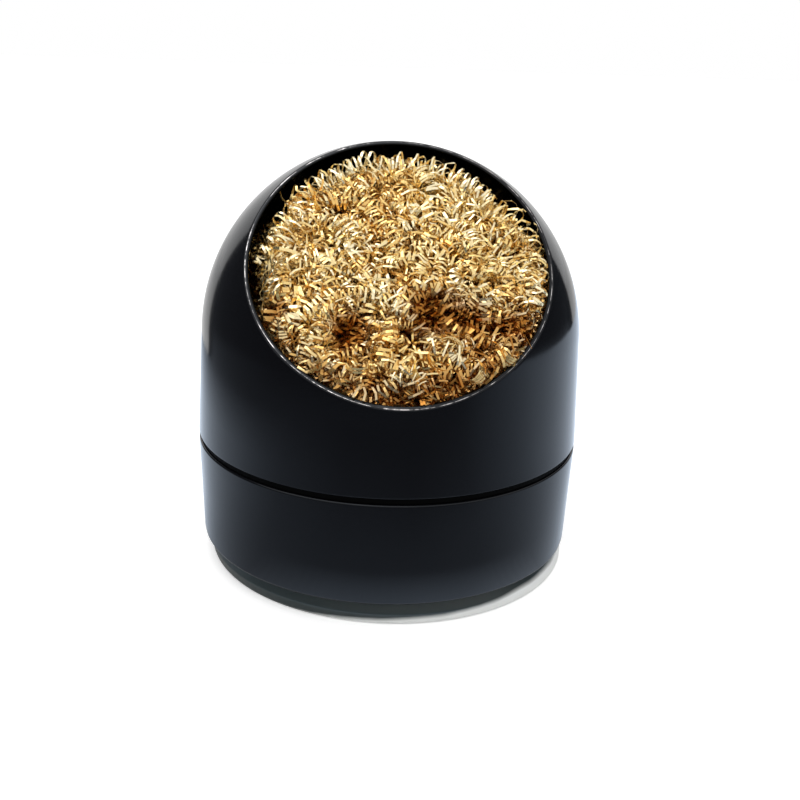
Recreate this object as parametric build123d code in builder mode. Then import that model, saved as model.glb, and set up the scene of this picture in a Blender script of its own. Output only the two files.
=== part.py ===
from build123d import *
import os
from math import cos, exp, radians, sin, sqrt, tan
from random import Random

# Bench cleaner for soldering tips: a domed metal cover with a slanted round mouth, pushed over the
# spigot of a weighted cup that holds a wad of curly brass wool, on a rubber foot pad.
# Millimetres, +Z up. The origin is on the table under the centre, and the mouth faces -Y.

# ---------------------------------------------------------------- driving dimensions
overall_height = 81.0

# cover: a drawn shell, a sphere on a skirt that leans out a little and meets it tangentially
dome_radius = 36.6
skirt_lean = 2.6  # degrees from the vertical
cover_wall = 0.7
hem_chamfer = 0.2
mouth_elevation = 44.0  # degrees from the horizontal up to the mouth's axis
mouth_radius = 27.4

# base cup: a turned body with a painted side, a shoulder and a spigot for the cover
foot_height = 4.6  # how far the cup's lower edge stands off the table
cup_side_height = 19.6
cup_side_taper = 0.7  # how far the side draws in from the shoulder to its lower edge
cup_floor_thickness = 3.5
cup_bore_draft = 1.5  # degrees
bore_corner_chamfer = 2.0
spigot_height = 8.3
spigot_wall = 1.4
spigot_chamfer = 0.5
recess_wall = 1.9
side_edge_chamfer = 0.3

# seal ring: moulded rubber, a flange in the seam and a sleeve with gripping lips
seam_height = 1.2
seam_inset = 0.4
seam_edge_chamfer = 0.2
sleeve_room = 1.3  # between the spigot and the cover at the spigot's top
sleeve_wall = 0.7
sleeve_height = 6.0
lip_count = 2
lip_pitch = 2.6
lip_root_height = 1.4
lip_tip_height = 0.4

# ballast disc and its countersunk screws
ballast_thickness = 3.5
ballast_chamfer = 0.4
screw_count = 3
screw_circle_diameter = 44.0
screw_diameter = 3.0
screw_length = 6.0
screw_head_diameter = 5.6
screw_head_angle = 90.0
screw_socket_width = 2.0
screw_socket_depth = 1.0

# foot pad: moulded rubber, with grip ribs under it
pad_thickness = 6.2
pad_edge_chamfer = 0.8
pad_rim_width = 6.0
pad_recess_depth = 0.8
pad_rib_count = 3
pad_rib_width = 1.6

# brass wool: one springy wad, a ball that fills the dome on a plug that fills the cup
wool_crown = 2.8  # how far the middle of the wad stands out of the mouth
wool_edge_drop = 2.4  # how far the front's edge falls behind the mouth
wool_front_shift = 1.8  # the wad's front is pushed to one side of the mouth
wool_front_angle = -65.0  # the way it is pushed, from the right
wool_front_depth = 3.6  # how far the pushed front reaches behind the mouth
wool_tuft_spacing = 6.1  # from one tuft of curls to the next
wool_tuft_height = 1.8  # at most, from a dip to a tuft's top
wool_tuft_seed = 4
wool_hollows = ((-9.0, -14.0), (6.0, -10.5), (12.5, -11.0))  # right and up from the middle of the mouth
wool_hollow_radius = 3.4
wool_hollow_depth = 3.2
wool_foot_chamfer = 2.5
wool_ball_sides = 14  # flats round the ball's profile

# clearances
running_gap = 0.08  # seal ring turning on its spigot
grip_gap = 0.1  # lips inside the cover
seat_gap = 0.1  # pieces set into a recess or a hole
wool_gap = 0.4  # soft wool to any metal

# ---------------------------------------------------------------- derived sizes and planes
lean = radians(skirt_lean)
draft = tan(radians(cup_bore_draft))
shoulder_height = foot_height + cup_side_height
hem_height = shoulder_height + seam_height
spigot_top = shoulder_height + spigot_height
dome_centre = overall_height - dome_radius


def skirt_radius(height, inset):
    """Radius at a height of the skirt's outside, or of a surface set in from it."""
    return (dome_radius - inset - (height - dome_centre) * sin(lean)) / cos(lean)


cover_radius = skirt_radius(hem_height, 0)
cup_foot_radius = cover_radius - cup_side_taper
recess_radius = cup_foot_radius - recess_wall
ballast_top = pad_thickness + ballast_thickness
cup_floor = ballast_top + cup_floor_thickness
spigot_radius = skirt_radius(spigot_top, cover_wall) - sleeve_room
cup_bore_radius = spigot_radius - spigot_wall
bore_floor_radius = cup_bore_radius - (spigot_top - cup_floor) * draft

mouth_axis = Vector(0, -cos(radians(mouth_elevation)), sin(radians(mouth_elevation)))
mouth_distance = sqrt(dome_radius**2 - mouth_radius**2)
# square to the mouth's axis, at the mouth's edge
mouth_plane = Plane(Vector(0, 0, dome_centre) + mouth_axis * mouth_distance, (1, 0, 0), mouth_axis)
# through the dome's centre, with its y along the mouth's axis
ball_plane = Plane((0, 0, dome_centre), (1, 0, 0), Vector(1, 0, 0).cross(mouth_axis))


def dome_section(inset):
    """Half section of the dome and skirt down to the hem, with the wall set in by inset."""
    with BuildSketch(Plane.XZ) as section:
        with BuildLine():
            crown = CenterArc((0, dome_centre), dome_radius - inset, skirt_lean, 90 - skirt_lean)
            hem = (skirt_radius(hem_height, inset), hem_height)
            Polyline(crown @ 0, hem, (0, hem_height), crown @ 1)
        make_face()
    return section.sketch


def screw_section(gap):
    """Half section of a countersunk screw with its head at the bottom, and gap all round it."""
    head = screw_head_diameter / 2 + gap
    shank = screw_diameter / 2 + gap
    cone_height = (head - shank) / tan(radians(screw_head_angle / 2))
    tip = screw_length + gap
    with BuildSketch(Plane.XZ) as section:
        with BuildLine():
            Polyline((0, 0), (head, 0), (shank, cone_height), (shank, tip), (0, tip), close=True)
        make_face()
    return section.sketch


# ---------------------------------------------------------------- dome cover
with BuildPart() as dome_cover:
    revolve(dome_section(0), axis=Axis.Z)
    chamfer(dome_cover.edges().group_by(Axis.Z)[0], hem_chamfer)
    revolve(dome_section(cover_wall), axis=Axis.Z, mode=Mode.SUBTRACT)
    split(bisect_by=mouth_plane, keep=Keep.BOTTOM)
dome_cover.part.label = "dome_cover"

# ---------------------------------------------------------------- screw and screw hole
with BuildPart() as screw:
    revolve(screw_section(0), axis=Axis.Z)
    with BuildSketch():
        RegularPolygon(screw_socket_width / 2, 6, major_radius=False)
    extrude(amount=screw_socket_depth, mode=Mode.SUBTRACT)

with BuildPart() as screw_hole:
    revolve(screw_section(seat_gap), axis=Axis.Z)

# ---------------------------------------------------------------- base cup
with BuildPart() as cup_bore:
    with BuildSketch(Plane.XY.offset(cup_floor)):
        Circle(bore_floor_radius)
    with BuildSketch(Plane.XY.offset(spigot_top)):
        Circle(cup_bore_radius)
    loft()
    chamfer(cup_bore.edges().group_by(Axis.Z)[0], bore_corner_chamfer)

with BuildPart() as base_cup:
    with BuildSketch(Plane.XY.offset(foot_height)):
        Circle(cup_foot_radius)
    with BuildSketch(Plane.XY.offset(shoulder_height)):
        Circle(cover_radius)
    loft()
    chamfer(base_cup.edges().filter_by(GeomType.CIRCLE), side_edge_chamfer)
    with BuildSketch(Plane.XY.offset(shoulder_height)):
        Circle(spigot_radius)
    extrude(amount=spigot_height)
    chamfer(base_cup.edges().group_by(Axis.Z)[-1], spigot_chamfer)
    add(cup_bore.part, mode=Mode.SUBTRACT)
    with BuildSketch(Plane.XY.offset(foot_height)):
        Circle(recess_radius)
    extrude(amount=ballast_top - foot_height, mode=Mode.SUBTRACT)
    with Locations(Plane.XY.offset(pad_thickness)):
        with PolarLocations(screw_circle_diameter / 2, screw_count, start_angle=90):
            add(screw_hole.part, mode=Mode.SUBTRACT)
base_cup.part.label = "base_cup"

# ---------------------------------------------------------------- seal ring
with BuildPart() as seal_ring:
    with BuildSketch(Plane.XZ):
        inner = spigot_radius + running_gap
        sleeve = inner + sleeve_wall
        flange = cover_radius - seam_inset
        sleeve_top = hem_height + sleeve_height
        with BuildLine():
            Polyline(
                (inner, shoulder_height),
                (flange, shoulder_height),
                (flange, hem_height),
                (sleeve, hem_height),
                (sleeve, sleeve_top),
                (inner, sleeve_top),
                close=True,
            )
        make_face()
        for lip in range(lip_count):
            height = hem_height + (lip + 0.5) * lip_pitch
            reach = skirt_radius(height, cover_wall) - grip_gap
            with BuildLine():
                Polyline(
                    (inner, height - lip_root_height / 2),
                    (sleeve, height - lip_root_height / 2),
                    (reach, height - lip_tip_height / 2),
                    (reach, height + lip_tip_height / 2),
                    (sleeve, height + lip_root_height / 2),
                    (inner, height + lip_root_height / 2),
                    close=True,
                )
            make_face()
    revolve(axis=Axis.Z)
    chamfer(seal_ring.edges().filter_by(GeomType.CIRCLE).sort_by(SortBy.RADIUS)[-2:], seam_edge_chamfer)
seal_ring.part.label = "seal_ring"

# ---------------------------------------------------------------- ballast disc and screws
with BuildPart() as ballast_disc:
    with BuildSketch(Plane.XY.offset(pad_thickness)):
        Circle(recess_radius - seat_gap)
    extrude(amount=ballast_thickness)
    chamfer(ballast_disc.edges().filter_by(GeomType.CIRCLE), ballast_chamfer)
    with Locations(Plane.XY.offset(pad_thickness)):
        with PolarLocations(screw_circle_diameter / 2, screw_count, start_angle=90):
            add(screw_hole.part, mode=Mode.SUBTRACT)
ballast_disc.part.label = "ballast_disc"

with BuildPart() as ballast_screws:
    with Locations(Plane.XY.offset(pad_thickness)):
        with PolarLocations(screw_circle_diameter / 2, screw_count, start_angle=90):
            add(screw.part)
ballast_screws.part.label = "ballast_screws"

# ---------------------------------------------------------------- foot pad
with BuildPart() as foot_pad:
    pad_radius = recess_radius - seat_gap
    with BuildSketch():
        Circle(pad_radius)
    extrude(amount=pad_thickness)
    chamfer(foot_pad.edges().group_by(Axis.Z)[0], pad_edge_chamfer)
    with BuildSketch():
        recess = pad_radius - pad_rim_width
        Circle(recess)
        for rib in range(pad_rib_count):
            rib_radius = recess * (rib + 1) / (pad_rib_count + 1)
            with BuildSketch(mode=Mode.SUBTRACT):
                Circle(rib_radius + pad_rib_width / 2)
                Circle(rib_radius - pad_rib_width / 2, mode=Mode.SUBTRACT)
    extrude(amount=pad_recess_depth, mode=Mode.SUBTRACT)
foot_pad.part.label = "foot_pad"

# ---------------------------------------------------------------- brass wool
ball_radius = dome_radius - cover_wall - wool_gap
front_root = mouth_distance - wool_front_depth
front_radius = sqrt(ball_radius**2 - mouth_distance**2) - wool_front_shift
front_middle = Vector(wool_front_shift, 0).rotate(Axis.Z, wool_front_angle)
crown_radius = (front_radius**2 + wool_crown**2) / (2 * wool_crown)
ring_count = round(2 * front_radius / wool_tuft_spacing)
ring_sides = 6
tufts = Random(wool_tuft_seed)


def front_height(place, radius):
    """Height of the wad's front over the mouth's plane, at a place across it and a radius from its middle."""
    crown = wool_crown - crown_radius + sqrt(crown_radius**2 - radius**2)
    tuft = wool_tuft_height * tufts.uniform(-0.5, 0.5)
    hollow = 0
    for middle in wool_hollows:
        hollow += exp(-(((place - Vector(*middle)).length / wool_hollow_radius) ** 2))
    return crown + tuft - wool_hollow_depth * hollow


def front_ring(ring):
    """Corners of the front's facets on one ring round its middle, six more on each ring than on the last."""
    radius = front_radius * ring / ring_count
    count = max(1, ring_sides * ring)
    points = []
    for step in range(count):
        place = front_middle + Vector(radius, 0).rotate(Axis.Z, 360 * step / count)
        height = -wool_edge_drop if ring == ring_count else front_height(place, radius)
        points.append(Vector(place.X, place.Y, height))
    return points


def ring_facets(inner, outer, ring):
    """Triangles between one ring of corners and the next one out."""
    triangles = []
    for side in range(ring_sides):
        for step in range(ring):
            near = outer[side * ring + step]
            far = outer[(side * ring + step + 1) % len(outer)]
            within = inner[(side * (ring - 1) + step) % len(inner)]
            triangles.append((near, far, within))
            if step < ring - 1:
                triangles.append((within, far, inner[(side * (ring - 1) + step + 1) % len(inner)]))
    return triangles


rings = [front_ring(ring) for ring in range(ring_count + 1)]
edge = rings[-1]
root = [Vector(corner.X, corner.Y, -wool_front_depth) for corner in edge]
outlines = [root]
for k in range(len(edge)):
    outlines.append((edge[k - 1], edge[k], root[k], root[k - 1]))
for ring in range(1, ring_count + 1):
    outlines += ring_facets(rings[ring - 1], rings[ring], ring)
facets = []
for outline in outlines:
    facets.append(Face(Wire.make_polygon([mouth_plane.from_local_coords(corner) for corner in outline])))

with BuildPart() as brass_wool:
    # a ball inside the dome, cut off behind the mouth
    with BuildSketch(ball_plane):
        RegularPolygon(ball_radius, wool_ball_sides)
        with Locations((0, front_root)):
            Rectangle(ball_radius, 2 * ball_radius, align=(Align.MIN, Align.MAX), mode=Mode.INTERSECT)
    revolve(axis=Axis(ball_plane.origin, mouth_axis))
    # its front: a shallow crown of tufts that stands out of the mouth, to one side of its middle
    add(Solid(Shell(facets)))
    split(bisect_by=Plane.XY.offset(spigot_top), keep=Keep.TOP)
    # the plug that fills the cup
    with BuildSketch(Plane.XY.offset(cup_floor + wool_gap)):
        Circle(bore_floor_radius - wool_gap)
    with BuildSketch(Plane.XY.offset(spigot_top)):
        Circle(cup_bore_radius - wool_gap)
    loft()
    chamfer(brass_wool.edges().group_by(Axis.Z)[0], wool_foot_chamfer)
brass_wool.part.label = "brass_wool"

# ---------------------------------------------------------------- export
os.makedirs("parts", exist_ok=True)
for piece in (dome_cover, base_cup, seal_ring, ballast_disc, ballast_screws, foot_pad, brass_wool):
    export_step(piece.part, f"parts/{piece.part.label}.step")
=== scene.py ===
"""Bench cleaner for soldering tips, dressed: gloss shell, weighted cup, rubber foot and curly brass wool."""

import math
import random

import bmesh
import bpy
import numpy
from bpy.props import FloatProperty, FloatVectorProperty, IntProperty, PointerProperty
from bpy.types import NodeSocket, Operator, Panel, PropertyGroup
from mathutils import Matrix, Vector, noise
from mathutils.bvhtree import BVHTree


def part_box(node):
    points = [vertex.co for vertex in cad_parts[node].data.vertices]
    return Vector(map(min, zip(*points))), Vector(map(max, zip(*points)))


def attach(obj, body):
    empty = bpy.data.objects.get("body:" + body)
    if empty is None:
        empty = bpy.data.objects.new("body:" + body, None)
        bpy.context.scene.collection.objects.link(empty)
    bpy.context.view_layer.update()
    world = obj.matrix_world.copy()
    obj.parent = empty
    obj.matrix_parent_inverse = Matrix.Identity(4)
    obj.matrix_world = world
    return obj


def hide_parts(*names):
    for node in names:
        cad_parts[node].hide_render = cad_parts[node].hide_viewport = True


bl_info = {
    "name": "Soldering Tip Cleaner",
    "version": (1, 0, 0),
    "blender": (4, 5, 0),
    "location": "View3D > Sidebar > Tip Cleaner",
    "description": "Builds the domed cover, the cup, the foot and the brass wool of a tip cleaner",
    "category": "Add Mesh",
}

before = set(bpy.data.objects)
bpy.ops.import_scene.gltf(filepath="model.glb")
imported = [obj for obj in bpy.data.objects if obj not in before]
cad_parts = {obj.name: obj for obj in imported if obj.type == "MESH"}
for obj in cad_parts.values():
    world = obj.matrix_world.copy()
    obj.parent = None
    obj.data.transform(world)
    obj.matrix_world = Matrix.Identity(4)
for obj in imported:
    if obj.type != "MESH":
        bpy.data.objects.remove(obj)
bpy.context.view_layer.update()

MM = 0.001
UP = Vector((0, 0, 1))

cover_low, cover_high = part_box("dome_cover")
cup_low, cup_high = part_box("base_cup")
pad_low, pad_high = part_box("foot_pad")
shoulder_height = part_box("seal_ring")[0].z
recess_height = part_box("ballast_disc")[1].z


# ---------------- settings
def length_setting(name, description, millimetres):
    return FloatProperty(name=name, description=description, default=millimetres * MM, unit="LENGTH",
                         precision=5)


def angle_setting(name, description, degrees):
    return FloatProperty(name=name, description=description, default=math.radians(degrees), subtype="ANGLE")


def colour_setting(name, description, colour):
    return FloatVectorProperty(name=name, description=description, default=colour, subtype="COLOR", size=3,
                               min=0.0, max=1.0)


def count_setting(name, description, count):
    return IntProperty(name=name, description=description, default=count, min=1)


class CoverSettings(PropertyGroup):
    dome_radius: length_setting("Dome radius", "Outside radius of the dome", 36.6)
    skirt_lean: angle_setting("Skirt lean", "How far the skirt leans out downwards", 2.6)
    wall: length_setting("Wall", "Thickness of the drawn shell", 0.7)
    mouth_elevation: angle_setting("Mouth elevation", "From the horizontal up to the mouth's axis", 44.0)
    mouth_radius: length_setting("Mouth radius", "Outside radius of the mouth", 27.4)
    outer_rounding: length_setting("Outer rounding", "Rounding of the mouth's outer edge", 0.20)
    inner_rounding: length_setting("Inner rounding", "Rounding of the mouth's inner edge", 0.36)
    hem_rounding: length_setting("Hem rounding", "Radius of the hem's edges", 0.2)
    segments: count_setting("Segments", "Faces round the cover", 288)
    enamel: colour_setting("Enamel", "Colour of the gloss enamel", (0.0035, 0.0035, 0.0045))


class CupSettings(PropertyGroup):
    side_taper: length_setting("Side taper", "How far the side draws in towards the foot", 0.7)
    recess_wall: length_setting("Recess wall", "Wall round the recess for the disc and the pad", 1.9)
    spigot_wall: length_setting("Spigot wall", "Wall of the spigot at its top", 1.4)
    sleeve_room: length_setting("Sleeve room", "Between the spigot and the cover, for the seal", 1.3)
    floor_thickness: length_setting("Floor", "Thickness of the cup's floor", 3.5)
    bore_draft: angle_setting("Bore draft", "Draft of the cup's bore", 1.5)
    edge_rounding: length_setting("Edge rounding", "Radius of the painted edges", 0.4)
    segments: count_setting("Segments", "Faces round the cup", 320)


class FootSettings(PropertyGroup):
    edge_rounding: length_setting("Edge rounding", "Radius of the pad's lower edge", 0.9)
    flare: length_setting("Flare", "How far the pad bulges out below the cup", 1.1)
    offset: length_setting("Offset", "How far the bulge sits to the right", 0.8)
    rim_width: length_setting("Rim width", "Width of the ring that the pad stands on", 6.0)
    recess_depth: length_setting("Recess depth", "Depth of the grooves under the pad", 0.8)
    rib_width: length_setting("Rib width", "Width of each grip rib", 1.6)
    rib_count: count_setting("Ribs", "Grip ribs inside the ring", 3)
    segments: count_setting("Segments", "Faces round the pad", 256)
    silicone: colour_setting("Silicone", "Colour of the pad's lower edge", (0.86, 0.87, 0.85))
    # the pad's colour up under the cup: painted shade
    shade: colour_setting("Shade", "Colour of the pad under the cup", (0.012, 0.022, 0.022))


class WoolSettings(PropertyGroup):
    ribbon_width: length_setting("Ribbon width", "Width of the brass ribbon", 0.41)
    ribbon_thickness: length_setting("Ribbon thickness", "Thickness of the brass ribbon", 0.06)
    curl_radius: length_setting("Curl radius", "Radius of a curl", 1.5)
    curl_pitch: length_setting("Curl pitch", "Distance from one turn of a curl to the next", 1.15)
    core_depth: length_setting("Core depth", "Depth of the dark core under the wad's surface", 5.0)
    seed: count_setting("Seed", "Seed of the tangle", 7)
    brass: colour_setting("Brass", "Colour of clean ribbon", (0.93, 0.69, 0.28))
    shade: colour_setting("Shade", "Colour deep between the curls", (0.42, 0.17, 0.03))


class StudioSettings(PropertyGroup):
    camera_distance: length_setting("Camera distance", "Camera to the object's axis, level", 208.47)
    camera_height: length_setting("Camera height", "Camera above the table", 103.73)
    camera_azimuth: angle_setting("Camera azimuth", "How far the camera stands to the left", 4.131)
    camera_pitch: angle_setting("Camera pitch", "How far the camera looks down", 19.416)
    camera_yaw: angle_setting("Camera yaw", "How far the camera turns to the right", 0.643)
    camera_roll: angle_setting("Camera roll", "How far the camera is rolled", -2.156)
    camera_view: angle_setting("Camera view", "Angle of view across the picture", 39.966)
    floor_size: length_setting("Floor size", "Side of the floor", 4000.0)
    screen_front: length_setting("Screen front", "Distance of the dark screen in front", 165.0)
    screen_right: length_setting("Screen right", "Distance of the dark screen at the right", 310.0)
    screen_height: length_setting("Screen height", "Height of the dark screen in front", 40.0)
    screen_side_height: length_setting("Screen side height", "Height of the dark screen at the sides", 180.0)
    screen_lean: angle_setting("Screen lean", "How far the screen's ends lean to the back", 6.0)
    screen_reach: angle_setting("Screen reach", "How far round to the right the screen stands", 123.0)
    screen_left_reach: angle_setting("Screen left reach", "How far round to the left it stands", 122.0)


# ---------------- mesh helpers
def new_object(name, data):
    made = bpy.data.objects.new(name, data)
    bpy.context.scene.collection.objects.link(made)
    return made


def linked(name, bm, material, smooth=True):
    """Turn a bmesh into an object of the scene."""
    for face in bm.faces:
        face.smooth = smooth
    mesh = bpy.data.meshes.new(name)
    bm.to_mesh(mesh)
    bm.free()
    mesh.materials.append(material)
    return new_object(name, mesh)


def finished_piece(name, bm, body, material, solid, smooth=True):
    """Make a piece that rides on a body of the part and stands for one of its solids."""
    piece = linked(name, bm, material, smooth)
    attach(piece, body)
    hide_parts(solid)
    return piece


def rounded(corner, before, after, radius, steps=4):
    """Points of a rounded corner, from the side of the corner before it to the side of the one after."""
    corner = Vector(corner)
    back = (Vector(before) - corner).normalized()
    ahead = (Vector(after) - corner).normalized()
    reach = radius / math.tan(back.angle(ahead) / 2)
    first, last = corner + back * reach, corner + ahead * reach
    shares = [i / steps for i in range(steps + 1)]
    return [tuple(first * (1 - t) ** 2 + corner * 2 * t * (1 - t) + last * t**2) for t in shares]


def rounded_profile(corners):
    """A profile from its corners, each ((radius, height), rounding); a rounding of 0 leaves one sharp."""
    points = []
    for i, (corner, rounding) in enumerate(corners):
        if rounding == 0:
            points.append(corner)
        else:
            points.extend(rounded(corner, corners[i - 1][0], corners[i + 1][0], rounding))
    return points


def spun(points, segments):
    """A line of points, spun round the part's axis."""
    bm = bmesh.new()
    verts = [bm.verts.new(point) for point in points]
    edges = [bm.edges.new(pair) for pair in zip(verts, verts[1:])]
    bmesh.ops.spin(bm, geom=verts + edges, cent=(0, 0, 0), axis=UP, angle=2 * math.pi, steps=segments,
                   use_merge=True)
    return bm


def turned(profile, segments):
    """A turned body, from its profile of (radius, height)."""
    bm = spun([(radius, 0, height) for radius, height in profile], segments)
    bmesh.ops.remove_doubles(bm, verts=bm.verts, dist=1e-7)
    bmesh.ops.recalc_face_normals(bm, faces=bm.faces)
    return bm


def eased(value, low, high):
    """0 below a range and 1 above it, with a smooth step between."""
    share = min(1.0, max(0.0, (value - low) / (high - low)))
    return share * share * (3 - 2 * share)


# ---------------- material helpers
class Tree:
    """The nodes of a material, a group or the world, with short ways to add and join them."""

    def __init__(self, node_tree):
        self.nodes = node_tree.nodes
        self.links = node_tree.links

    def put(self, value, socket):
        """Join a socket to another one, or set it to a number or a colour."""
        if isinstance(value, NodeSocket):
            self.links.new(value, socket)
        elif socket.type == "RGBA":
            socket.default_value = (*value, 1.0)
        else:
            socket.default_value = value

    def add(self, kind, settings=None, **inputs):
        """A node with its settings, and its inputs by name."""
        node = self.nodes.new("ShaderNode" + kind)
        for key, value in (settings or {}).items():
            setattr(node, key, value)
        for label, value in inputs.items():
            self.put(value, node.inputs[label.replace("_", " ")])
        return node

    def maths(self, operation, *values):
        node = self.add("Math", {"operation": operation})
        for value, socket in zip(values, node.inputs):
            self.put(value, socket)
        return node.outputs[0]

    def ranged(self, value, low, high, to_low=0.0, to_high=1.0):
        """A value carried from one range to another and held at its ends."""
        return self.add("MapRange", Value=value, From_Min=low, From_Max=high, To_Min=to_low,
                        To_Max=to_high).outputs["Result"]

    def noise(self, vector, scale, detail, roughness=0.5):
        return self.add("TexNoise", Vector=vector, Scale=scale, Detail=detail,
                        Roughness=roughness).outputs["Fac"]

    def mix(self, factor, first, second):
        return self.add("Mix", {"data_type": "RGBA"}, Factor=factor, A=first, B=second).outputs["Result"]

    def attribute(self, name):
        return self.add("Attribute", {"attribute_name": name}).outputs["Fac"]

    def place_in_object(self):
        return self.add("TexCoord").outputs["Object"]

    def placed(self, group, **inputs):
        """The outputs of a group placed on the object's coordinates."""
        return self.add("Group", {"node_tree": group}, Vector=self.place_in_object(), **inputs).outputs

    def bump(self, height, strength, distance=0.1 * MM):
        return self.add("Bump", Strength=strength, Distance=distance, Height=height).outputs["Normal"]


class Finish(Tree):
    """A material's nodes, which end in its shader."""

    def __init__(self, name):
        self.material = bpy.data.materials.new(name)
        self.material.use_nodes = True
        super().__init__(self.material.node_tree)
        self.shader = self.nodes["Principled BSDF"]

    def give(self, **inputs):
        """Set or join the shader's inputs, and return the material."""
        for label, value in inputs.items():
            self.put(value, self.shader.inputs[label.replace("_", " ")])
        return self.material


def new_group(name, inputs, outputs):
    """A node group that reads a vector and named numbers: itself, its tree, its inputs and its outputs."""
    group = bpy.data.node_groups.new(name, "ShaderNodeTree")
    group.interface.new_socket("Vector", in_out="INPUT", socket_type="NodeSocketVector")
    for label, default in inputs.items():
        socket = group.interface.new_socket(label, in_out="INPUT", socket_type="NodeSocketFloat")
        socket.default_value = default
    for label in outputs:
        group.interface.new_socket(label, in_out="OUTPUT", socket_type="NodeSocketFloat")
    start = group.nodes.new("NodeGroupInput")
    end = group.nodes.new("NodeGroupOutput")
    return group, Tree(group), start.outputs, end.inputs


# ---------------- shared effects
def make_dust_group():
    """Fine dust specks and faint smudges on gloss paint: a colour mask, a roughness and a height."""
    group, tree, start, end = new_group(
        "paint_wear",
        {"Speck Scale": 1200.0, "Smudge Scale": 60.0, "Base Roughness": 0.12, "Smudge": 0.08},
        ("Specks", "Roughness", "Height"),
    )
    cells = tree.add("TexVoronoi", Vector=start["Vector"], Scale=start["Speck Scale"]).outputs
    near = tree.ranged(cells["Distance"], 0.05, 0.12, 1.0, 0.0)
    pick = tree.ranged(cells["Color"], 0.90, 0.94)
    smudge = tree.ranged(tree.noise(start["Vector"], start["Smudge Scale"], 4.0), 0.45, 0.7)
    roughness = tree.maths("MULTIPLY_ADD", smudge, start["Smudge"], start["Base Roughness"])
    tree.put(tree.maths("MULTIPLY", near, pick), end["Specks"])
    tree.put(roughness, end["Roughness"])
    tree.put(tree.noise(start["Vector"], 700.0, 1.0), end["Height"])
    return group


def make_grain_group():
    """A fine grain, and patches that vary more slowly over the surface."""
    group, tree, start, end = new_group(
        "fine_grain", {"Scale": 800.0, "Patch Scale": 60.0}, ("Grain", "Patches")
    )
    tree.put(tree.noise(start["Vector"], start["Scale"], 4.0), end["Grain"])
    tree.put(tree.noise(start["Vector"], start["Patch Scale"], 3.0), end["Patches"])
    return group


# ---------------- materials
# where the grain's noise is carried from, when it sets a roughness
GRAIN_LOW, GRAIN_HIGH = 0.3, 0.7


def enamel_material(colour, dust_group):
    """Black gloss enamel with dust specks and faint smudges.

    Where the edge attribute is 1 it is worn to the metal in places, and where it is -1 it is painted
    near-black metal that reflects almost nothing: a painted shade on the mouth's inner lip."""
    finish = Finish("black_enamel")
    wear = finish.placed(dust_group, Speck_Scale=260.0, Smudge_Scale=45.0, Base_Roughness=0.10, Smudge=0.05)
    edge = finish.attribute("worn_and_painted_shade_edge")
    chips = finish.noise(finish.place_in_object(), 420.0, 4.0, 0.65)
    worn = finish.ranged(chips, 0.46, 0.62, 0.05, 1.0)
    bare = finish.maths("MULTIPLY", finish.ranged(edge, 0.5, 0.85), worn)
    # painted shade: near-black metal along the mouth's inner lip, so that the lip reflects almost nothing
    painted_lip_shade = finish.ranged(edge, -0.9, -0.1, 1.0, 0.0)
    dusty = finish.mix(wear["Specks"], colour, (0.10, 0.10, 0.10))
    lip_shade_colour = finish.mix(painted_lip_shade, dusty, (0.006, 0.006, 0.006))
    return finish.give(
        Base_Color=finish.mix(bare, lip_shade_colour, (0.80, 0.76, 0.75)),
        Metallic=finish.maths("MAXIMUM", bare, painted_lip_shade),
        Roughness=wear["Roughness"],
        Specular_IOR_Level=0.25,
        # the reflections are tinted a little blue: a painted tint of the surrounding light, not the enamel's
        # own
        Specular_Tint=(0.86, 0.93, 1.0),
        Normal=finish.bump(wear["Height"], 0.03),
    )


def grained_material(name, grain_group, scale, patch_scale, colours, roughness, strength, **inputs):
    """A material with patches between two colours and a grain between two roughnesses."""
    finish = Finish(name)
    grain = finish.placed(grain_group, Scale=scale, Patch_Scale=patch_scale)
    return finish.give(
        Base_Color=finish.mix(grain["Patches"], *colours),
        Roughness=finish.ranged(grain["Grain"], GRAIN_LOW, GRAIN_HIGH, *roughness),
        Normal=finish.bump(grain["Grain"], strength),
        **inputs,
    )


def rubber_material(grain_group):
    """Matt black moulded rubber, darker than rubber's own black: partly its colour, partly painted shade in
    the seam between cover and cup.
    """
    # colours near zero: the rubber's black and the seam's painted shade
    colours = (0.0006, 0.0006, 0.0006), (0.0016, 0.0016, 0.0016)
    return grained_material("black_rubber", grain_group, 1500.0, 90.0, colours, (0.55, 0.75), 0.2,
                            Specular_IOR_Level=0.03)


def silicone_material(colour, shade, grain_group):
    """Smoky translucent silicone, pale along its lower edge; its darkening up under the cup, set a little
    higher on the left, is painted shade.
    """
    finish = Finish("foot_silicone")
    grain = finish.placed(grain_group, Scale=900.0, Patch_Scale=70.0)
    # height, taken a little higher towards the left, in metres: where the painted shade under the cup sets in
    level = finish.add("VectorMath", {"operation": "DOT_PRODUCT"})
    finish.put(finish.place_in_object(), level.inputs[0])
    finish.put((-0.048, 0.0, 1.0), level.inputs[1])
    wavering = finish.maths("MULTIPLY_ADD", grain["Patches"], 1 * MM, level.outputs["Value"])
    return finish.give(
        Base_Color=finish.mix(finish.ranged(wavering, 1.2 * MM, 2.1 * MM), colour, shade),
        Roughness=finish.ranged(grain["Grain"], GRAIN_LOW, GRAIN_HIGH, 0.32, 0.45),
        Subsurface_Weight=0.4,
        Subsurface_Radius=(1.0, 1.0, 1.0),
        Subsurface_Scale=1 * MM,
        Normal=finish.bump(grain["Grain"], 0.08),
    )


def steel_material(name, colour, roughness, grain_group):
    """Bare or plated steel."""
    duller = tuple(0.75 * part for part in colour)
    return grained_material(name, grain_group, 2500.0, 120.0, (duller, colour),
                            (roughness * 0.8, roughness * 1.3), 0.1, Metallic=1.0)


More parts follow.
